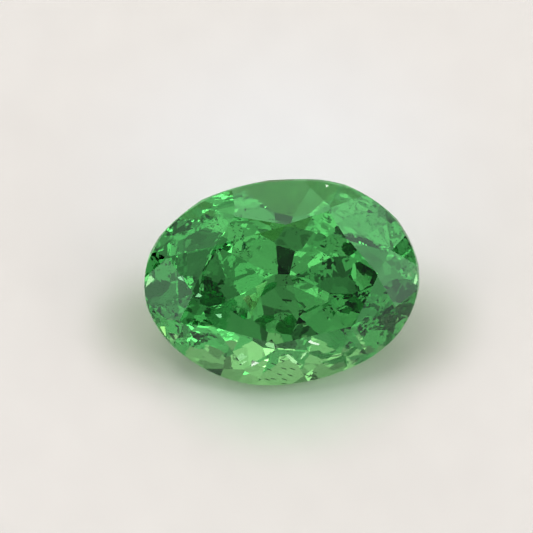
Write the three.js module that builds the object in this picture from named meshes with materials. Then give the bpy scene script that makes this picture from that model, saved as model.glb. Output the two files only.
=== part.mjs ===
// Oval brilliant-cut tsavorite garnet: one loose faceted stone, lying on a
// pavilion facet with its table tilted towards -Y.
// Millimetres, +Z up. Origin: middle of the footprint box, on the surface that
// the stone lies on. +X runs along the stone's long axis.
//
// The stone is worked out as a cutter works it: every facet is one flat plane,
// and the stone is what is left inside all of them.

import * as THREE from "three";

// ---------------------------------------------------------------- dimensions
// Each plane below is given in the stone's own frame: the girdle lies level at
// height 0, the table faces up, and E is the long axis.
const TABLE_HEIGHT = 0.9027; // table above the girdle's mid-plane
const GIRDLE_THICKNESS = 0.16; // height of the thin faceted girdle band, for reference
const GIRDLE_SLOPE_DEG = 76; // the ground band leans in a little towards the table
const ROUGH_SIZE = 12; // half side of the rough that the facets are cut from
const MEET_TOLERANCE = 0.0045; // facet corners nearer than this are one meet point
const RESTING_FACET = "pavilion_main_S"; // the facet that the stone lies on
const TURN_DEG = 1.93; // turn of the lying stone about the vertical

const STONE_COLOR = 0x3f9c55;
const STONE_ROUGHNESS = 0.03;
const STONE_METALNESS = 0.0;

// Crown facets: name, slope from the girdle plane (degrees), azimuth (degrees,
// counter-clockwise from E seen from above the table), distance of the plane
// from the stone's centre.
const CROWN = [
  ["crown_main_E", 36.70, 358.65, 2.2319],
  ["crown_main_NE", 34.64, 52.88, 1.9021],
  ["crown_main_N", 36.67, 91.16, 1.7077],
  ["crown_main_NW", 36.28, 125.99, 1.8829],
  ["crown_main_W", 32.90, 184.22, 2.0369],
  ["crown_main_SW", 33.70, 237.18, 1.7578],
  ["crown_main_S", 34.45, 273.37, 1.6213],
  ["crown_main_SE", 36.30, 310.25, 1.9152],
  ["star_E_NE", 21.78, 38.08, 1.6408],
  ["star_NE_N", 19.77, 75.89, 1.3995],
  ["star_N_NW", 19.53, 103.86, 1.3685],
  ["star_NW_W", 20.59, 152.06, 1.5723],
  ["star_W_SW", 21.65, 212.75, 1.5981],
  ["star_SW_S", 23.38, 252.57, 1.4219],
  ["star_S_SE", 22.30, 281.62, 1.3807],
  ["star_SE_E", 23.89, 332.90, 1.6988],
  ["upper_girdle_E_NE_a", 44.23, 14.90, 2.5680],
  ["upper_girdle_E_NE_b", 41.22, 41.21, 2.2847],
  ["upper_girdle_NE_N_a", 40.25, 64.60, 2.0420],
  ["upper_girdle_NE_N_b", 42.35, 81.86, 1.9592],
  ["upper_girdle_N_NW_a", 41.38, 95.77, 1.8694],
  ["upper_girdle_N_NW_b", 42.51, 115.37, 2.0225],
  ["upper_girdle_NW_W_a", 43.31, 137.46, 2.2857],
  ["upper_girdle_NW_W_b", 42.86, 165.97, 2.5043],
  ["upper_girdle_W_SW_a", 39.60, 195.96, 2.3381],
  ["upper_girdle_W_SW_b", 40.08, 219.93, 2.1709],
  ["upper_girdle_SW_S_a", 40.02, 244.45, 1.9527],
  ["upper_girdle_SW_S_b", 42.55, 263.91, 1.9347],
  ["upper_girdle_S_SE_a", 40.71, 280.63, 1.8367],
  ["upper_girdle_S_SE_b", 43.85, 301.50, 2.1157],
  ["upper_girdle_SE_E_a", 42.28, 317.90, 2.2405],
  ["upper_girdle_SE_E_b", 42.75, 344.42, 2.4770],
];

// Pavilion facets, the same, facing down.
const PAVILION = [
  ["pavilion_main_E", 34.30, 2.20, 2.3967],
  ["pavilion_main_NE", 33.94, 50.94, 2.3417],
  ["pavilion_main_N", 31.37, 82.22, 2.3464],
  ["pavilion_main_NW", 34.99, 122.56, 2.2819],
  ["pavilion_main_W", 34.42, 171.66, 2.3275],
  ["pavilion_main_SW", 36.46, 240.73, 2.2272],
  ["pavilion_main_S", 39.48, 268.61, 2.0548],
  ["pavilion_main_SE", 39.36, 290.12, 2.1198],
  ["lower_girdle_S_SE_a", 58.74, 278.54, 2.3400],
  ["lower_girdle_SE_E_b", 58.77, 345.18, 3.0918],
  ["pavilion_middle_01", 47.52, 2.19, 2.7330],
  ["pavilion_middle_02", 45.47, 24.67, 2.5084],
  ["pavilion_middle_03", 45.92, 54.28, 2.2471],
  ["pavilion_middle_04", 46.75, 76.57, 2.1336],
  ["pavilion_middle_05", 50.21, 89.04, 2.1200],
  ["pavilion_middle_06", 52.40, 104.05, 2.1677],
  ["pavilion_middle_07", 50.16, 130.52, 2.3704],
  ["pavilion_middle_08", 47.62, 149.38, 2.5306],
  ["pavilion_middle_09", 44.66, 174.67, 2.4804],
  ["pavilion_middle_10", 48.89, 210.63, 2.5426],
  ["pavilion_middle_11", 49.11, 239.06, 2.2001],
  ["pavilion_middle_12", 49.69, 256.00, 2.0772],
  ["pavilion_middle_13", 50.28, 266.79, 2.0487],
  ["pavilion_middle_14", 48.14, 291.41, 2.0478],
  ["pavilion_middle_15", 47.22, 307.98, 2.2134],
  ["pavilion_middle_16", 48.11, 329.17, 2.4676],
];

// Girdle band: azimuth of each narrow facet and its distance from the stone's
// axis at mid-height. Together they make the slightly uneven oval outline.
const GIRDLE = [
  [3.31, 3.6300], [9.89, 3.6186], [16.36, 3.5924], [22.66, 3.5538], [28.75, 3.5048], [34.58, 3.4486],
  [40.15, 3.3883], [45.46, 3.3263], [50.51, 3.2623], [55.32, 3.1981], [59.91, 3.1346], [64.31, 3.0712],
  [68.54, 3.0101], [72.63, 2.9497], [76.61, 2.8930], [80.50, 2.8395], [84.32, 2.7915], [88.11, 2.7533],
  [91.89, 2.7337], [95.68, 2.7377], [99.50, 2.7560], [103.39, 2.7837], [107.37, 2.8184], [111.46, 2.8600],
  [115.69, 2.9108], [120.09, 2.9704], [124.68, 3.0392], [129.49, 3.1165], [134.54, 3.2001], [139.85, 3.2865],
  [145.42, 3.3709], [151.25, 3.4520], [157.34, 3.5222], [163.64, 3.5805], [170.11, 3.6189], [176.69, 3.6395],
  [183.31, 3.6364], [189.89, 3.6123], [196.36, 3.5685], [202.66, 3.5081], [208.75, 3.4358], [214.58, 3.3566],
  [220.15, 3.2742], [225.46, 3.1936], [230.51, 3.1186], [235.32, 3.0516], [239.91, 2.9933], [244.31, 2.9436],
  [248.54, 2.9009], [252.63, 2.8630], [256.61, 2.8291], [260.50, 2.7989], [264.32, 2.7719], [268.11, 2.7486],
  [271.89, 2.7301], [275.68, 2.7198], [279.50, 2.7206], [283.39, 2.7378], [287.37, 2.7715], [291.46, 2.8201],
  [295.69, 2.8800], [300.09, 2.9490], [304.68, 3.0246], [309.49, 3.1049], [314.54, 3.1893], [319.85, 3.2734],
  [325.42, 3.3553], [331.25, 3.4327], [337.34, 3.4999], [343.64, 3.5574], [350.11, 3.5982], [356.69, 3.6230],
];

// ------------------------------------------------------------------- planes
const rad = THREE.MathUtils.degToRad;

function facetPlane(slopeDeg, azimuthDeg, distance, side) {
  const s = Math.sin(rad(slopeDeg));
  return {
    n: new THREE.Vector3(
      s * Math.cos(rad(azimuthDeg)),
      s * Math.sin(rad(azimuthDeg)),
      side * Math.cos(rad(slopeDeg)),
    ),
    d: distance,
  };
}

const planes = [];
planes.push({ name: "table", n: new THREE.Vector3(0, 0, 1), d: TABLE_HEIGHT });
for (const [name, slope, azimuth, distance] of CROWN)
  planes.push({ name, ...facetPlane(slope, azimuth, distance, 1) });
GIRDLE.forEach(([azimuth, distance], i) =>
  planes.push({
    name: "girdle_" + i,
    ...facetPlane(GIRDLE_SLOPE_DEG, azimuth, distance * Math.sin(rad(GIRDLE_SLOPE_DEG)), 1),
  }),
);
for (const [name, slope, azimuth, distance] of PAVILION)
  planes.push({ name, ...facetPlane(slope, azimuth, distance, -1) });

// ------------------------------------------------------------------- facets
// The polygon that is left of each plane inside all the others, wound so that
// it faces out.
function facetPolygon(plane) {
  const u = new THREE.Vector3(
    Math.abs(plane.n.z) > 0.9 ? 1 : 0,
    0,
    Math.abs(plane.n.z) > 0.9 ? 0 : 1,
  )
    .cross(plane.n)
    .normalize();
  const v = new THREE.Vector3().crossVectors(plane.n, u);
  const c = plane.n.clone().multiplyScalar(plane.d);
  const at = (a, b) =>
    c.clone().addScaledVector(u, a * ROUGH_SIZE).addScaledVector(v, b * ROUGH_SIZE);
  let polygon = [at(-1, -1), at(1, -1), at(1, 1), at(-1, 1)];
  for (const cut of planes) {
    if (cut === plane) continue;
    const kept = [];
    for (let i = 0; i < polygon.length; i++) {
      const a = polygon[i],
        b = polygon[(i + 1) % polygon.length];
      const da = cut.n.dot(a) - cut.d,
        db = cut.n.dot(b) - cut.d;
      if (da <= 0) kept.push(a);
      if (da * db < 0) kept.push(a.clone().lerp(b, da / (da - db)));
    }
    polygon = kept;
    if (polygon.length < 3) return [];
  }
  return polygon;
}

const facets = planes
  .map((plane) => ({ plane, polygon: facetPolygon(plane) }))
  .filter((f) => f.polygon.length >= 3);

// Corners that several facets share become one point each.
const corners = [];
function cornerIndex(p) {
  for (let i = 0; i < corners.length; i++)
    if (corners[i].sum.clone().divideScalar(corners[i].count).distanceTo(p) < MEET_TOLERANCE) {
      corners[i].sum.add(p);
      corners[i].count += 1;
      return i;
    }
  corners.push({ sum: p.clone(), count: 1 });
  return corners.length - 1;
}
for (const f of facets) {
  const loop = f.polygon.map(cornerIndex);
  f.loop = loop.filter((v, i) => v !== loop[(i + 1) % loop.length]);
}
const points = corners.map((c) => c.sum.divideScalar(c.count));

// ------------------------------------------------------------ lay the stone
// The resting facet's outward normal is turned straight down, then the stone is
// turned about the vertical, set down on z = 0 and centred over the origin.
const resting = facets.find((f) => f.plane.name === RESTING_FACET);
const lay = new THREE.Quaternion().setFromUnitVectors(
  resting.plane.n,
  new THREE.Vector3(0, 0, -1),
);
const turn = new THREE.Quaternion().setFromAxisAngle(
  new THREE.Vector3(0, 0, 1),
  rad(TURN_DEG),
);
for (const p of points) p.applyQuaternion(lay).applyQuaternion(turn);
const box = new THREE.Box3().setFromPoints(points);
const shift = new THREE.Vector3(
  -(box.min.x + box.max.x) / 2,
  -(box.min.y + box.max.y) / 2,
  resting.plane.d,
);
for (const p of points) p.add(shift);
for (const i of resting.loop) points[i].z = 0;

// --------------------------------------------------------------------- mesh
const position = new Float32Array(points.length * 3);
points.forEach((p, i) => p.toArray(position, i * 3));
const index = [];
for (const { loop } of facets)
  for (let i = 1; i + 1 < loop.length; i++)
    index.push(loop[0], loop[i], loop[i + 1]);

const geometry = new THREE.BufferGeometry();
geometry.setAttribute("position", new THREE.BufferAttribute(position, 3));
geometry.setIndex(index);

const stone = new THREE.Mesh(
  geometry,
  new THREE.MeshStandardMaterial({
    color: STONE_COLOR,
    roughness: STONE_ROUGHNESS,
    metalness: STONE_METALNESS,
    flatShading: true,
  }),
);
stone.name = "tsavorite_stone";

const group = new THREE.Group();
group.add(stone);

export default group;
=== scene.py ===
# Looks of the oval cut garnet: clear green crystal with fine inclusions, lying
# on a pale surface in soft studio light, seen from above and in front.
# Metres, +Z up, in the same frame as the solid.

import math

import bpy
import numpy as np
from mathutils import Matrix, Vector


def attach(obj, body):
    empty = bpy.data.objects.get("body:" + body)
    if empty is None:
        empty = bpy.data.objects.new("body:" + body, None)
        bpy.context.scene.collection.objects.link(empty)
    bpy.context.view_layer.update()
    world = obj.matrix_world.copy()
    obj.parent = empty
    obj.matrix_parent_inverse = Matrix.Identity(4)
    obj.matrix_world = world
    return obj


MM = 0.001

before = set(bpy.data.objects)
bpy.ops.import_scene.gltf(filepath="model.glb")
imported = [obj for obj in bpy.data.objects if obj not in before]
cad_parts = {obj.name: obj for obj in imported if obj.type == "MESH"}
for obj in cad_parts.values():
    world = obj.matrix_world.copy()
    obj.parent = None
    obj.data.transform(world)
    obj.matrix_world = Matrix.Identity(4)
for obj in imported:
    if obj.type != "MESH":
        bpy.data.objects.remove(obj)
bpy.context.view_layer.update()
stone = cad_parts["tsavorite_stone"]
scene = bpy.context.scene

# ------------------------------------------------------------------ constants
VIEW_ELEVATION_DEG = 58.53  # of the camera above the surface
FRAME_WIDTH_MM = 14.0712  # width of the picture at the stone
CAMERA_DISTANCE_MM = 400.0
STONE_CENTRE_MM = (-0.0093, 0.0182, 2.0585)  # centre of the girdle plane
AIM_RIGHT_MM, AIM_DOWN_MM = 0.396, 0.4224  # where that centre lies from the picture's middle

REFRACTION = 1.74
SHEEN_TINT = (0.5, 0.95, 0.62)
BODY_TINT = (0.98, 0.97, 0.47)
GIRDLE_ROUGHNESS = 0.35
CELL_SCALE = 2400.0  # per metre
CELL_TILT = 0.055
MAINS_SHARE = 0.4  # the main facets are flatter
MAINS_LEAN = 0.105  # the domed facets at the culet end
FRONT_LEFT_LEAN = 0.04
CALM_SHARE = 0.15  # facets across the short axis are flatter still
FRONT_SHARE = 0.35  # and so are those on the front side
LEFT_SHARE = 0.6  # and on the left end
RETURN_TILT = 0.03  # for light that meets the crown from inside
FINE_SCALE, FINE_SHARE = 5000.0, 0.28
FINE_STRETCH = (0.45, 1.0, 1.2)
LAP_SCALE = 2600.0  # per metre
LAP_PAVILION, LAP_CROWN = 0.002, 0.002
ABSORPTION_PER_MM = (0.337, 0.11, 0.207)  # red, green, blue

# Soft light of a room: bands of panes from the horizon up, some bright, some
# dim. For each band: its upper edge in degrees of elevation, and the strength
# of each pane, in equal steps of azimuth from due west round by the south (-Y).
LIGHT_PEAK = 5.6
PANES = [
    (7, [
        1.79, 0.07, 0.67, 0.52, 0.35, 0.00, 0.00, 0.98, 0.00, 0.34,
        0.47, 1.08, 0.00, 1.78, 0.00, 0.00, 0.18, 0.46, 0.24, 0.11,
        0.00, 0.00, 0.00, 0.01, 0.41, 0.61, 0.00, 0.14, 0.17, 0.00,
    ]),
    (15, [
        0.86, 1.44, 1.37, 0.63, 0.03, 0.08, 0.25, 0.62, 0.00, 0.00,
        0.89, 1.09, 1.61, 1.51, 0.56, 0.13, 0.00, 1.82, 1.48, 1.15,
        1.01, 0.70, 0.48, 0.81, 0.94, 0.74, 1.21, 1.06, 0.38, 0.88,
    ]),
    (24, [
        0.93, 0.73, 2.00, 0.71, 0.15, 0.00, 0.00, 0.76, 0.49, 0.51,
        0.19, 4.25, 1.04, 0.69, 1.23, 0.66, 0.63, 0.00, 0.57, 0.60,
        0.82, 2.08, 1.70, 2.21, 1.31, 0.88, 0.24, 0.51,
    ]),
    (34, [
        1.01, 0.69, 1.73, 0.66, 0.22, 0.05, 0.77, 0.00, 1.16, 0.88,
        0.79, 1.04, 1.04, 1.39, 1.37, 0.34, 0.26, 0.48, 0.69, 0.69,
        0.28, 0.11, 0.52, 0.26, 0.54, 1.20,
    ]),
    (45, [
        1.61, 0.51, 1.05, 0.62, 0.54, 0.20, 0.47, 0.82, 1.75, 0.79,
        4.56, 0.56, 2.23, 0.59, 0.99, 0.86, 5.52, 0.74, 0.50, 0.79,
        1.74, 0.70,
    ]),
    (57, [
        1.97, 0.98, 0.25, 0.40, 0.49, 0.86, 0.70, 1.85, 1.14, 0.36,
        1.95, 1.24, 1.28, 2.62, 1.81, 4.81, 0.87, 1.01,
    ]),
    (70, [
        0.79, 0.60, 1.18, 0.50, 1.26, 0.38, 0.54, 0.14, 4.21, 1.83,
        3.49, 0.00,
    ]),
    (90, [
        0.35, 0.46, 0.31, 0.75, 3.46,
    ]),
]
FLOOR_COLOR = (0.765, 0.741, 0.716)
# Painted light and shade on the paper round the stone, besides its own rendered
# shadow: middle (x, y), the distances over which each fades out (mm), and its
# tint. A painted green glow in front, painted shade at the two ends, a painted cooler light behind.
PAINTED_SHADE_AND_LIGHT = [
    (0.0, -0.6, 1.0, 4.2, (0.79, 1.0, 0.85)),
    (-3.2, -0.1, 0.5, 2.5, (0.645, 0.705, 0.62)),
    (3.25, -0.05, 0.6, 2.5, (0.70, 0.745, 0.68)),
    (0.0, 3.5, 1.0, 7.5, (1.03, 1.07, 1.125)),
]

TABLE_AXIS = (0.00600, -0.63577, 0.77185)  # outward normal of the table facet

# Dark needles sealed under the front crown facet: middle and full length (mm).
NEEDLES = [
    (-0.009, -1.38, 0.839, 0.144, -0.052, -0.039),
    (-0.242, -1.12, 0.471, 0.145, -0.086, -0.011),
    (-0.358, -1.472, 0.536, 0.145, -0.075, -0.021),
    (0.035, -1.527, 0.61, 0.144, -0.063, -0.03),
    (-0.07, -1.813, 0.591, 0.144, -0.052, -0.039),
    (0.061, -1.853, 0.407, 0.145, -0.086, -0.011),
    (-0.394, -1.894, 0.455, 0.145, -0.075, -0.021),
    (0.213, -1.772, 0.514, 0.144, -0.063, -0.03),
    (0.424, -1.494, 0.753, 0.144, -0.066, -0.028),
    (0.822, -1.545, 0.465, 0.157, -0.152, 0.015),
    (0.618, -1.674, 0.447, 0.129, -0.065, -0.014),
    (0.266, -1.542, 0.593, 0.144, -0.063, -0.03),
]
NEEDLE_RADIUS_MM = 0.017
# Clouds of fine grains: middle, three half spreads, count, grain size, kind.
CLOUDS = [
    ((-0.016, 0.368, 0.211), (0.211, 0, 0), (0, -0.282, -0.014), (0, 0.08, -0.115), 12, 0.022, "needle"),
    ((0.088, 1.551, 0.141), (0.106, 0, 0), (0, -0.096, -0.002), (0, 0.066, -0.094), 6, 0.03, "dark"),
    ((0.664, 1.397, 2.75), (0.133, -0.004, 0.011), (-0.003, -0.062, -0.114), (-0.013, 0.176, -0.352), 8, 0.01, "dark"),
    ((1.227, 0.824, 1.787), (0.634, -0.134, 0.192), (0, -0.081, -0.07), (-0.002, 0.422, -0.605), 8, 0.01, "dark"),
    ((0.646, -0.016, 0.855), (0.238, -0.033, 0.047), (0, -0.237, -0.032), (-0.001, 0.239, -0.343), 16, 0.02, "pale"),
    ((-3.18, 0.347, 2.294), (0.102, 0.025, -0.027), (0, -0.059, -0.055), (0.021, 0.047, -0.064), 3, 0.035, "dark"),
    ((-2.788, 0.473, 2.313), (0.088, 0.018, -0.031), (0.119, 0.06, -0.1), (0.02, 0.074, -0.124), 3, 0.035, "dark"),
    ((1.28, 0.215, 1.035), (0.581, -0.138, 0.198), (0, -0.352, -0.053), (-0.002, 0.399, -0.573), 8, 0.01, "dark"),
    ((-0.832, 1.284, 2.058), (0.66, 0.096, -0.139), (0, -0.18, -0.299), (-0.002, 0.492, -0.705), 8, 0.01, "dark"),
    ((1.628, 1.294, 2.491), (0.47, -0.033, 0.149), (-0.037, -0.188, -0.272), (-0.074, 0.181, -0.443), 6, 0.01, "dark"),
    ((0.486, 0.816, 0.869), (0.37, -0.042, 0.06), (0, -0.198, -0.042), (-0.002, 0.381, -0.547), 6, 0.011, "dark"),
    ((2.697, -0.286, 1.37), (0.349, -0.14, 0.124), (0.245, -0.649, -0.167), (-0.152, 0.27, -0.326), 22, 0.016, "pale"),
    ((1.544, 1.222, 2.145), (0.319, -0.082, -0.198), (0, -0.103, -0.27), (-0.002, 0.351, -0.504), 14, 0.014, "pale"),
    ((-1.458, 1.38, 1.912), (0.513, 0.093, 0.114), (0.023, -0.23, -0.172), (0.113, 0.254, -0.627), 20, 0.014, "pale"),
]
# Tiny bright feathers (healed cracks) just under the crown, each a thin plate:
# its colour, the way it faces and its corners.
FEATHERS = [
    ((0.2021, 0.2755, 0.4228), (0.2850, -0.7485, 0.5988), [(0.6897, -1.6188, 1.7505), (0.7546, -1.5677, 1.7835), (0.8047, -1.5910, 1.7305), (0.9858, -1.5962, 1.6378), (0.9810, -1.6228, 1.6068), (0.7975, -1.6364, 1.6772)]),
    ((0.2030, 0.2767, 0.4247), (0.2687, -0.8202, 0.5051), [(-0.7872, -1.8642, 1.2496), (-0.5957, -1.8658, 1.1453), (-0.8099, -1.9725, 1.0859)]),
    ((0.1064, 0.2365, 0.2100), (0.1835, -0.7752, 0.6045), [(-1.1153, -1.9204, 1.1070), (-0.9993, -1.8435, 1.1703), (-0.9001, -1.8177, 1.1733), (-0.9676, -1.8661, 1.1317), (-1.0997, -1.9364, 1.0817)]),
    ((0.0798, 0.2001, 0.1655), (0.1835, -0.7753, 0.6044), [(-1.2314, -1.8240, 1.2682), (-1.0480, -1.7044, 1.3659), (-0.9152, -1.7537, 1.2624), (-1.1109, -1.8591, 1.1865)]),
    ((0.1044, 0.2321, 0.2061), (0.2680, -0.8204, 0.5051), [(0.0808, -1.7964, 1.4030), (0.1803, -1.7656, 1.4002), (0.4107, -1.8496, 1.1414), (0.3773, -1.8932, 1.0884), (0.2797, -1.8869, 1.1505)]),
    ((0.1044, 0.2321, 0.2061), (0.2678, -0.8205, 0.5051), [(0.4776, -1.8512, 1.2470), (0.5753, -1.7212, 1.4063), (0.6619, -1.6851, 1.4191), (0.6386, -1.7240, 1.3682), (0.5168, -1.8327, 1.2562)]),
    ((0.0798, 0.2001, 0.1655), (0.1829, -0.7755, 0.6043), [(-0.4431, -1.6746, 1.7471), (-0.2632, -1.5824, 1.8109), (-0.2132, -1.6299, 1.7349), (-0.0701, -1.6889, 1.6158), (-0.1449, -1.7209, 1.5974), (-0.3770, -1.7210, 1.6675)]),
    ((0.1283, 0.2853, 0.2533), (-0.3131, -0.4197, 0.8519), [(-3.4402, 0.1765, 2.2628), (-3.3198, 0.0246, 2.2322), (-3.5864, -0.1294, 2.0583), (-3.5359, -0.0058, 2.1378)]),
    ((0.0855, 0.2560, 0.2380), (-0.3136, -0.4196, 0.8518), [(-2.7496, -0.2140, 2.7124), (-2.6005, -0.2051, 2.7717), (-2.5438, -0.3454, 2.7235), (-2.6583, -0.2958, 2.7057)]),
    ((0.0851, 0.2547, 0.2368), (-0.0368, -0.4251, 0.9044), [(-2.2890, -0.7277, 2.5678), (-2.2021, -0.6469, 2.6094), (-2.0993, -0.7051, 2.5862), (-2.1573, -0.7428, 2.5661)]),
    ((0.0851, 0.2547, 0.2368), (-0.0372, -0.4248, 0.9045), [(-1.7467, -1.0752, 2.2540), (-1.5964, -1.0712, 2.2620), (-1.5858, -1.1664, 2.2178), (-1.6596, -1.1648, 2.2155)]),
    ((0.2207, 0.5661, 0.3168), (-0.4742, -0.7141, 0.5151), [(-3.2246, -0.8859, 1.3741), (-3.0483, -0.9315, 1.4731), (-3.0367, -1.1029, 1.2462), (-3.1172, -1.0752, 1.2105)]),
    ((0.1035, 0.2302, 0.2044), (0.5247, -0.5474, 0.6519), [(3.4602, -0.0527, 2.1541), (3.5378, 0.1560, 2.2668), (3.5732, 0.0448, 2.1450), (3.5151, -0.0760, 2.0904)]),
    ((0.2036, 0.2775, 0.4259), (0.0710, -0.0060, 0.9975), [(1.1516, 1.9666, 3.8017), (1.2359, 1.9391, 3.7956), (1.1697, 1.8794, 3.7999)]),
]
FEATHER_THICKNESS_MM = 0.004


# --------------------------------------------------------------------- helpers
def node(tree, kind, **values):
    made = tree.nodes.new(kind)
    for key, value in values.items():
        setattr(made, key, value)
    return made


def math_node(tree, operation, a, b=None, c=None):
    made = tree.nodes.new("ShaderNodeMath")
    made.operation = operation
    for i, value in enumerate((a, b, c)):
        if value is None:
            continue
        if isinstance(value, (int, float)):
            made.inputs[i].default_value = value
        else:
            tree.links.new(value, made.inputs[i])
    return made.outputs[0]


def new_material(name):
    made = bpy.data.materials.new(name)
    made.use_nodes = True
    made.node_tree.nodes.clear()
    return made, made.node_tree


# ---------------------------------------------------------------------- camera
e = math.radians(VIEW_ELEVATION_DEG)
back = Vector((0.0, -math.cos(e), math.sin(e)))
up = Vector((0.0, math.sin(e), math.cos(e)))
right = Vector((1.0, 0.0, 0.0))
aim = (Vector(STONE_CENTRE_MM) - right * AIM_RIGHT_MM + up * AIM_DOWN_MM) * MM
camera_data = bpy.data.cameras.new("camera")
camera_data.sensor_fit = "HORIZONTAL"
camera_data.sensor_width = 36.0
camera_data.lens = 36.0 * CAMERA_DISTANCE_MM / FRAME_WIDTH_MM
camera_data.clip_start = 0.01
camera_data.clip_end = 5.0
camera = bpy.data.objects.new("camera", camera_data)
scene.collection.objects.link(camera)
camera.location = aim + back * CAMERA_DISTANCE_MM * MM
camera.rotation_mode = "QUATERNION"
camera.rotation_quaternion = (-back).to_track_quat("-Z", "Y")
scene.camera = camera

# ----------------------------------------------------------------------- light
world = bpy.data.worlds.new("soft_light")
scene.world = world
world.use_nodes = True
tree = world.node_tree
tree.nodes.clear()
where = node(tree, "ShaderNodeSeparateXYZ")
tree.links.new(node(tree, "ShaderNodeTexCoord").outputs["Generated"], where.inputs[0])
around = math_node(
    tree,
    "MULTIPLY_ADD",
    math_node(tree, "ARCTAN2", where.outputs["Y"], where.outputs["X"]),
    0.5 / math.pi,
    0.5,
)
total, lower = None, 0.0
for number, (upper, strengths) in enumerate(PANES):
    panes = node(tree, "ShaderNodeValToRGB", name="panes_%d" % number)
    panes.color_ramp.interpolation = "CONSTANT"
    stops = panes.color_ramp.elements
    while len(stops) < len(strengths):
        stops.new(0.5)
    for i, strength in enumerate(strengths):
        stops[i].position = i / len(strengths)
    for i, strength in enumerate(strengths):
        stops[i].color = (*[strength / LIGHT_PEAK] * 3, 1.0)
    tree.links.new(around, panes.inputs["Fac"])
    above = math_node(
        tree, "GREATER_THAN", where.outputs["Z"], math.sin(math.radians(lower))
    )
    below = math_node(
        tree, "LESS_THAN", where.outputs["Z"], math.sin(math.radians(upper)) + 1e-7
    )
    band = node(tree, "ShaderNodeVectorMath", operation="SCALE")
    tree.links.new(panes.outputs["Color"], band.inputs[0])
    tree.links.new(math_node(tree, "MULTIPLY", above, below), band.inputs["Scale"])
    if total is None:
        total = band.outputs["Vector"]
    else:
        summed = node(tree, "ShaderNodeVectorMath", operation="ADD")
        tree.links.new(total, summed.inputs[0])
        tree.links.new(band.outputs["Vector"], summed.inputs[1])
        total = summed.outputs["Vector"]
    lower = upper
lit = node(tree, "ShaderNodeBackground")
tinted = node(tree, "ShaderNodeVectorMath", operation="MULTIPLY")
tinted.inputs[1].default_value = (1.0, 0.985, 0.965)
tree.links.new(total, tinted.inputs[0])
tree.links.new(tinted.outputs["Vector"], lit.inputs["Color"])
lit.inputs["Strength"].default_value = LIGHT_PEAK
plain = node(tree, "ShaderNodeBackground")
plain.inputs["Color"].default_value = (*FLOOR_COLOR, 1.0)
seen = node(tree, "ShaderNodeLightPath").outputs["Is Camera Ray"]
mix = node(tree, "ShaderNodeMixShader")
tree.links.new(seen, mix.inputs[0])
tree.links.new(lit.outputs[0], mix.inputs[1])
tree.links.new(plain.outputs[0], mix.inputs[2])
tree.links.new(mix.outputs[0], node(tree, "ShaderNodeOutputWorld").inputs["Surface"])

# ----------------------------------------------------------------------- floor
floor_mesh = bpy.data.meshes.new("floor")
half, drop = 0.6, -3e-6
floor_mesh.from_pydata(
    [(-half, -half, drop), (half, -half, drop), (half, half, drop), (-half, half, drop)],
    [],
    [(0, 1, 2, 3)],
)
floor = bpy.data.objects.new("floor", floor_mesh)
scene.collection.objects.link(floor)
floor_material, tree = new_material("pale_paper")
shader = node(tree, "ShaderNodeBsdfPrincipled")
shader.inputs["Roughness"].default_value = 0.9
shader.inputs["Specular IOR Level"].default_value = 0.1
grain = node(tree, "ShaderNodeTexNoise")
grain.inputs["Scale"].default_value = 900.0
grain.inputs["Detail"].default_value = 3.0
tree.links.new(node(tree, "ShaderNodeTexCoord").outputs["Object"], grain.inputs["Vector"])
ramp = node(tree, "ShaderNodeValToRGB")
ramp.color_ramp.elements[0].position = 0.3
ramp.color_ramp.elements[0].color = (*[c * 0.985 for c in FLOOR_COLOR], 1.0)
ramp.color_ramp.elements[1].position = 0.7
ramp.color_ramp.elements[1].color = (*[min(1.0, c * 1.015) for c in FLOOR_COLOR], 1.0)
tree.links.new(grain.outputs["Fac"], ramp.inputs["Fac"])
paper_grain_and_painted_shade = ramp.outputs["Color"]
on_floor = node(tree, "ShaderNodeTexCoord").outputs["Object"]
# Each cast multiplies the paper's grained colour: painted shade and painted light round the stone's foot, not lamps.
for x, y, inner, outer, tint in PAINTED_SHADE_AND_LIGHT:
    from_middle = node(tree, "ShaderNodeVectorMath", operation="SUBTRACT")
    from_middle.inputs[1].default_value = (x * MM, y * MM, 0.0)
    tree.links.new(on_floor, from_middle.inputs[0])
    reach = node(tree, "ShaderNodeVectorMath", operation="LENGTH")
    tree.links.new(from_middle.outputs["Vector"], reach.inputs[0])
    painted_cast_mask = node(tree, "ShaderNodeMapRange", interpolation_type="SMOOTHSTEP")
    painted_cast_mask.inputs["From Min"].default_value = inner * MM
    painted_cast_mask.inputs["From Max"].default_value = outer * MM
    painted_cast_mask.inputs["To Min"].default_value = 1.0
    painted_cast_mask.inputs["To Max"].default_value = 0.0
    tree.links.new(reach.outputs["Value"], painted_cast_mask.inputs["Value"])
    painted_cast = node(tree, "ShaderNodeMix", data_type="RGBA", blend_type="MULTIPLY")
    painted_cast.inputs[7].default_value = (*tint, 1.0)
    tree.links.new(painted_cast_mask.outputs["Result"], painted_cast.inputs[0])
    tree.links.new(paper_grain_and_painted_shade, painted_cast.inputs[6])
    paper_grain_and_painted_shade = painted_cast.outputs[2]
tree.links.new(paper_grain_and_painted_shade, shader.inputs["Base Color"])
tree.links.new(shader.outputs[0], node(tree, "ShaderNodeOutputMaterial").inputs["Surface"])
floor_mesh.materials.append(floor_material)

# ----------------------------------------------------------------------- stone
# Clear crystal: body colour from absorption along the light's way inside,
# polished crown facets, pavilion facets with the slight unevenness left by the
# lap, and a ground girdle band that is a little frosted.
crystal, tree = new_material("tsavorite_crystal")
shader = node(tree, "ShaderNodeBsdfPrincipled")
shader.inputs["Base Color"].default_value = (*BODY_TINT, 1.0)
shader.inputs["Transmission Weight"].default_value = 1.0
shader.inputs["IOR"].default_value = REFRACTION
shader.inputs["Specular Tint"].default_value = (*SHEEN_TINT, 1.0)

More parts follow.
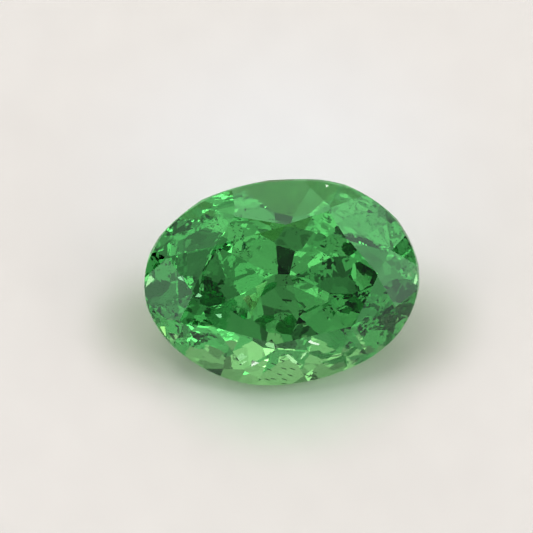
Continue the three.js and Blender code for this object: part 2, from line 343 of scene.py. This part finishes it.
geometry = node(tree, "ShaderNodeNewGeometry")
local = node(tree, "ShaderNodeTexCoord").outputs["Object"]
along = node(tree, "ShaderNodeVectorMath", operation="DOT_PRODUCT")
tree.links.new(geometry.outputs["True Normal"], along.inputs[0])
along.inputs[1].default_value = TABLE_AXIS
# Normals are turned over where a facet is met from inside the crystal.
outward = math_node(tree, "MULTIPLY_ADD", geometry.outputs["Backfacing"], -2.0, 1.0)
# 1 on the table, 0 on the girdle, below 0 on the pavilion
height = math_node(tree, "MULTIPLY", along.outputs["Value"], outward)
sideways = node(tree, "ShaderNodeSeparateXYZ")
tree.links.new(geometry.outputs["True Normal"], sideways.inputs[0])
facing_right = math_node(tree, "MULTIPLY", sideways.outputs["X"], outward)
facing_back = math_node(tree, "MULTIPLY", sideways.outputs["Y"], outward)

band = node(tree, "ShaderNodeMapRange")
band.inputs["From Min"].default_value = 0.06
band.inputs["From Max"].default_value = 0.16
band.inputs["To Min"].default_value = GIRDLE_ROUGHNESS
band.inputs["To Max"].default_value = 0.0
tree.links.new(math_node(tree, "ABSOLUTE", height), band.inputs["Value"])
tree.links.new(band.outputs["Result"], shader.inputs["Roughness"])

lap = node(tree, "ShaderNodeTexNoise")
lap.inputs["Scale"].default_value = LAP_SCALE
lap.inputs["Detail"].default_value = 2.0
tree.links.new(local, lap.inputs["Vector"])
centred = node(tree, "ShaderNodeVectorMath", operation="SUBTRACT")
tree.links.new(lap.outputs["Color"], centred.inputs[0])
centred.inputs[1].default_value = (0.5, 0.5, 0.5)
amount = node(tree, "ShaderNodeMapRange")
amount.inputs["From Min"].default_value = -0.2
amount.inputs["From Max"].default_value = -0.1
amount.inputs["To Min"].default_value = LAP_PAVILION
amount.inputs["To Max"].default_value = LAP_CROWN
tree.links.new(height, amount.inputs["Value"])
tilt = node(tree, "ShaderNodeVectorMath", operation="SCALE")
tree.links.new(centred.outputs["Vector"], tilt.inputs[0])
tree.links.new(amount.outputs["Result"], tilt.inputs["Scale"])
cells = node(tree, "ShaderNodeTexVoronoi")
cells.inputs["Scale"].default_value = CELL_SCALE
tree.links.new(local, cells.inputs["Vector"])
cell_centred = node(tree, "ShaderNodeVectorMath", operation="SUBTRACT")
tree.links.new(cells.outputs["Color"], cell_centred.inputs[0])
cell_centred.inputs[1].default_value = (0.5, 0.5, 0.5)
cell_amount = node(tree, "ShaderNodeMapRange")
cell_amount.inputs["From Min"].default_value = -0.8
cell_amount.inputs["From Max"].default_value = -0.6
cell_amount.inputs["To Min"].default_value = CELL_TILT * MAINS_SHARE
cell_amount.inputs["To Max"].default_value = CELL_TILT
tree.links.new(height, cell_amount.inputs["Value"])
below = math_node(tree, "LESS_THAN", height, -0.15)
crown = math_node(tree, "GREATER_THAN", height, 0.15)
returned = math_node(tree, "MULTIPLY", crown, geometry.outputs["Backfacing"])
calm = node(tree, "ShaderNodeMapRange")
calm.inputs["From Min"].default_value = 0.13
calm.inputs["From Max"].default_value = 0.21
calm.inputs["To Min"].default_value = CALM_SHARE
calm.inputs["To Max"].default_value = 1.0
tree.links.new(math_node(tree, "ABSOLUTE", facing_right), calm.inputs["Value"])
front = node(tree, "ShaderNodeMapRange")
front.inputs["From Min"].default_value = -0.3
front.inputs["From Max"].default_value = 0.0
front.inputs["To Min"].default_value = FRONT_SHARE
front.inputs["To Max"].default_value = 1.0
tree.links.new(facing_back, front.inputs["Value"])
left = node(tree, "ShaderNodeMapRange")
left.inputs["From Min"].default_value = -0.66
left.inputs["From Max"].default_value = -0.45
left.inputs["To Min"].default_value = LEFT_SHARE
left.inputs["To Max"].default_value = 1.0
tree.links.new(facing_right, left.inputs["Value"])
flatness = math_node(
    tree,
    "MULTIPLY",
    math_node(tree, "MULTIPLY", calm.outputs["Result"], front.outputs["Result"]),
    left.outputs["Result"],
)
cell_share = math_node(
    tree,
    "MULTIPLY_ADD",
    math_node(tree, "MULTIPLY", cell_amount.outputs["Result"], flatness),
    below,
    math_node(tree, "MULTIPLY", returned, RETURN_TILT),
)
cell_tilt = node(tree, "ShaderNodeVectorMath", operation="SCALE")
tree.links.new(cell_centred.outputs["Vector"], cell_tilt.inputs[0])
tree.links.new(cell_share, cell_tilt.inputs["Scale"])
fine = node(tree, "ShaderNodeTexVoronoi")
fine.inputs["Scale"].default_value = FINE_SCALE
stretch = node(tree, "ShaderNodeVectorMath", operation="MULTIPLY")
stretch.inputs[1].default_value = FINE_STRETCH
tree.links.new(local, stretch.inputs[0])
tree.links.new(stretch.outputs["Vector"], fine.inputs["Vector"])
fine_centred = node(tree, "ShaderNodeVectorMath", operation="SUBTRACT")
tree.links.new(fine.outputs["Color"], fine_centred.inputs[0])
fine_centred.inputs[1].default_value = (0.5, 0.5, 0.5)
fine_tilt = node(tree, "ShaderNodeVectorMath", operation="SCALE")
tree.links.new(fine_centred.outputs["Vector"], fine_tilt.inputs[0])
tree.links.new(
    math_node(tree, "MULTIPLY", cell_share, FINE_SHARE), fine_tilt.inputs["Scale"]
)
flats = node(tree, "ShaderNodeVectorMath", operation="ADD")
tree.links.new(cell_tilt.outputs["Vector"], flats.inputs[0])
tree.links.new(fine_tilt.outputs["Vector"], flats.inputs[1])
# The culet end of the pavilion is a little steeper to the light than its edges
# say: the lap leaves those facets slightly domed.
axial = node(tree, "ShaderNodeVectorMath", operation="SCALE")
axial.inputs[0].default_value = TABLE_AXIS
tree.links.new(along.outputs["Value"], axial.inputs["Scale"])
radial = node(tree, "ShaderNodeVectorMath", operation="SUBTRACT")
tree.links.new(geometry.outputs["True Normal"], radial.inputs[0])
tree.links.new(axial.outputs["Vector"], radial.inputs[1])
domed = node(tree, "ShaderNodeMapRange")
domed.inputs["From Min"].default_value = -0.80
domed.inputs["From Max"].default_value = -0.72
domed.inputs["To Min"].default_value = MAINS_LEAN
domed.inputs["To Max"].default_value = 0.0
tree.links.new(height, domed.inputs["Value"])
front_left = math_node(
    tree,
    "MULTIPLY",
    math_node(tree, "LESS_THAN", facing_right, -0.2),
    math_node(tree, "LESS_THAN", facing_back, 0.0),
)
steeper = node(tree, "ShaderNodeVectorMath", operation="SCALE")
tree.links.new(radial.outputs["Vector"], steeper.inputs[0])
tree.links.new(
    math_node(tree, "MULTIPLY_ADD", front_left, FRONT_LEFT_LEAN, domed.outputs["Result"]),
    steeper.inputs["Scale"],
)
lapped = node(tree, "ShaderNodeVectorMath", operation="ADD")
tree.links.new(tilt.outputs["Vector"], lapped.inputs[0])
tree.links.new(steeper.outputs["Vector"], lapped.inputs[1])
both = node(tree, "ShaderNodeVectorMath", operation="ADD")
tree.links.new(lapped.outputs["Vector"], both.inputs[0])
tree.links.new(flats.outputs["Vector"], both.inputs[1])
leaning = node(tree, "ShaderNodeVectorMath", operation="ADD")
tree.links.new(geometry.outputs["Normal"], leaning.inputs[0])
tree.links.new(both.outputs["Vector"], leaning.inputs[1])
unit = node(tree, "ShaderNodeVectorMath", operation="NORMALIZE")
tree.links.new(leaning.outputs["Vector"], unit.inputs[0])
tree.links.new(unit.outputs["Vector"], shader.inputs["Normal"])

density = 1000.0 * max(ABSORPTION_PER_MM) / 0.85
inside = node(tree, "ShaderNodeVolumeAbsorption")
inside.inputs["Color"].default_value = (
    *[1.0 - 1000.0 * a / density for a in ABSORPTION_PER_MM],
    1.0,
)
inside.inputs["Density"].default_value = density
out = node(tree, "ShaderNodeOutputMaterial")
tree.links.new(shader.outputs[0], out.inputs["Surface"])
tree.links.new(inside.outputs[0], out.inputs["Volume"])
stone.data.materials.clear()
stone.data.materials.append(crystal)


# ------------------------------------------------------------------ inclusions
def grain_material(name, dark, light, roughness):
    made, tree = new_material(name)
    shader = node(tree, "ShaderNodeBsdfPrincipled")
    shader.inputs["Roughness"].default_value = roughness
    mottle = node(tree, "ShaderNodeTexNoise")
    mottle.inputs["Scale"].default_value = 30000.0
    tree.links.new(node(tree, "ShaderNodeTexCoord").outputs["Object"], mottle.inputs["Vector"])
    ramp = node(tree, "ShaderNodeValToRGB")
    ramp.color_ramp.elements[0].position = 0.35
    ramp.color_ramp.elements[0].color = (*dark, 1.0)
    ramp.color_ramp.elements[1].position = 0.65
    ramp.color_ramp.elements[1].color = (*light, 1.0)
    tree.links.new(mottle.outputs["Fac"], ramp.inputs["Fac"])
    tree.links.new(ramp.outputs["Color"], shader.inputs["Base Color"])
    tree.links.new(shader.outputs[0], node(tree, "ShaderNodeOutputMaterial").inputs["Surface"])
    return made


def spindle(middle, reach, radius, rng, verts, faces, sides=6):
    """A slim crystal with tapered ends, broken a little out of true."""
    reach = np.asarray(reach, float)
    axis = reach / np.linalg.norm(reach)
    side = np.cross(axis, (0.0, 0.0, 1.0))
    if np.linalg.norm(side) < 1e-3:
        side = np.cross(axis, (0.0, 1.0, 0.0))
    side /= np.linalg.norm(side)
    other = np.cross(axis, side)
    rings = ((-0.5, 0.35), (-0.32, 0.95), (0.1, 1.0), (0.36, 0.8), (0.5, 0.3))
    base = len(verts)
    for t, r in rings:
        for k in range(sides):
            a = 2 * math.pi * (k + 0.25 * rng.random()) / sides
            q = r * radius * (0.85 + 0.3 * rng.random())
            verts.append(
                tuple(np.asarray(middle) + reach * t + (side * math.cos(a) + other * math.sin(a)) * q)
            )
    for i in range(len(rings) - 1):
        for k in range(sides):
            a, b = base + i * sides + k, base + i * sides + (k + 1) % sides
            faces.append((a, b, b + sides, a + sides))
    faces.append(tuple(base + k for k in reversed(range(sides))))
    faces.append(tuple(base + (len(rings) - 1) * sides + k for k in range(sides)))


def gather(name, items, material, seed):
    """One object of many small crystals: (middle, reach, radius) in mm."""
    rng = np.random.default_rng(seed)
    verts, faces = [], []
    for middle, reach, radius in items:
        spindle(middle, reach, radius, rng, verts, faces)
    mesh = bpy.data.meshes.new(name)
    mesh.from_pydata([tuple(c * MM for c in v) for v in verts], [], faces)
    mesh.materials.append(material)
    made = bpy.data.objects.new(name, mesh)
    scene.collection.objects.link(made)
    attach(made, "root")
    return made


rng = np.random.default_rng(11)
groups = {"needle": [], "dark": [], "pale": []}
for x, y, z, dx, dy, dz in NEEDLES:
    groups["needle"].append(((x, y, z), (dx, dy, dz), NEEDLE_RADIUS_MM))
for middle, a, b, c, count, size, kind in CLOUDS:
    for _ in range(count):
        while True:
            u = rng.uniform(-1.0, 1.0, 3)
            if u @ u <= 1.0:
                break
        where_to = np.asarray(middle) + u[0] * np.asarray(a) + u[1] * np.asarray(b) + u[2] * np.asarray(c)
        way = rng.normal(size=3)
        way /= np.linalg.norm(way)
        long = size * rng.uniform(1.2, 2.4) * (2.2 if kind == "needle" else 1.0)
        groups[kind].append((where_to, way * long, size * rng.uniform(0.35, 0.6)))
gather("needles", groups["needle"], grain_material("dark_needle", (0.006, 0.02, 0.008), (0.02, 0.06, 0.025), 0.35), 21)
gather("dark_grains", groups["dark"], grain_material("dark_grain", (0.01, 0.03, 0.012), (0.05, 0.12, 0.05), 0.5), 22)
gather("pale_grains", groups["pale"], grain_material("pale_grain", (0.45, 0.62, 0.42), (0.75, 0.88, 0.7), 0.5), 23)

verts, faces, slots = [], [], []
feather_mesh = bpy.data.meshes.new("feathers")
for tint, facing, corners in FEATHERS:
    name = "feather_%02x%02x%02x" % tuple(int(255 * c) for c in tint)
    if name not in bpy.data.materials:
        made, tree = new_material(name)
        shader = node(tree, "ShaderNodeBsdfPrincipled")
        shader.inputs["Base Color"].default_value = (*tint, 1.0)
        shader.inputs["Metallic"].default_value = 1.0
        shader.inputs["Roughness"].default_value = 0.04
        tree.links.new(shader.outputs[0], node(tree, "ShaderNodeOutputMaterial").inputs["Surface"])
        feather_mesh.materials.append(made)
    slot = feather_mesh.materials.find(name)
    first, n = len(verts), len(corners)
    normal = np.asarray(facing)
    turn = np.cross(np.subtract(corners[1], corners[0]), np.subtract(corners[2], corners[0]))
    if turn @ normal < 0:
        corners = corners[::-1]
    verts += [tuple(c) for c in corners]
    verts += [tuple(np.asarray(c) - normal * FEATHER_THICKNESS_MM) for c in corners]
    faces.append(tuple(range(first, first + n)))
    faces.append(tuple(reversed(range(first + n, first + 2 * n))))
    for k in range(n):
        j = (k + 1) % n
        faces.append((first + k, first + n + k, first + n + j, first + j))
    slots += [slot] * (n + 2)
feather_mesh.from_pydata([tuple(c * MM for c in v) for v in verts], [], faces)
for face, slot in zip(feather_mesh.polygons, slots):
    face.material_index = slot
feathers = bpy.data.objects.new("feathers", feather_mesh)
scene.collection.objects.link(feathers)
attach(feathers, "root")

# ---------------------------------------------------------------------- render
scene.view_settings.view_transform = "Standard"
scene.view_settings.look = "None"
scene.view_settings.exposure = 0.0
scene.view_settings.gamma = 1.0
scene.cycles.use_adaptive_sampling = False
scene.cycles.use_denoising = True
scene.cycles.denoising_input_passes = "RGB"
scene.cycles.max_bounces = 40
scene.cycles.transmission_bounces = 40
scene.cycles.glossy_bounces = 40
scene.cycles.diffuse_bounces = 6
scene.cycles.transparent_max_bounces = 16
scene.cycles.caustics_reflective = True
scene.cycles.caustics_refractive = True
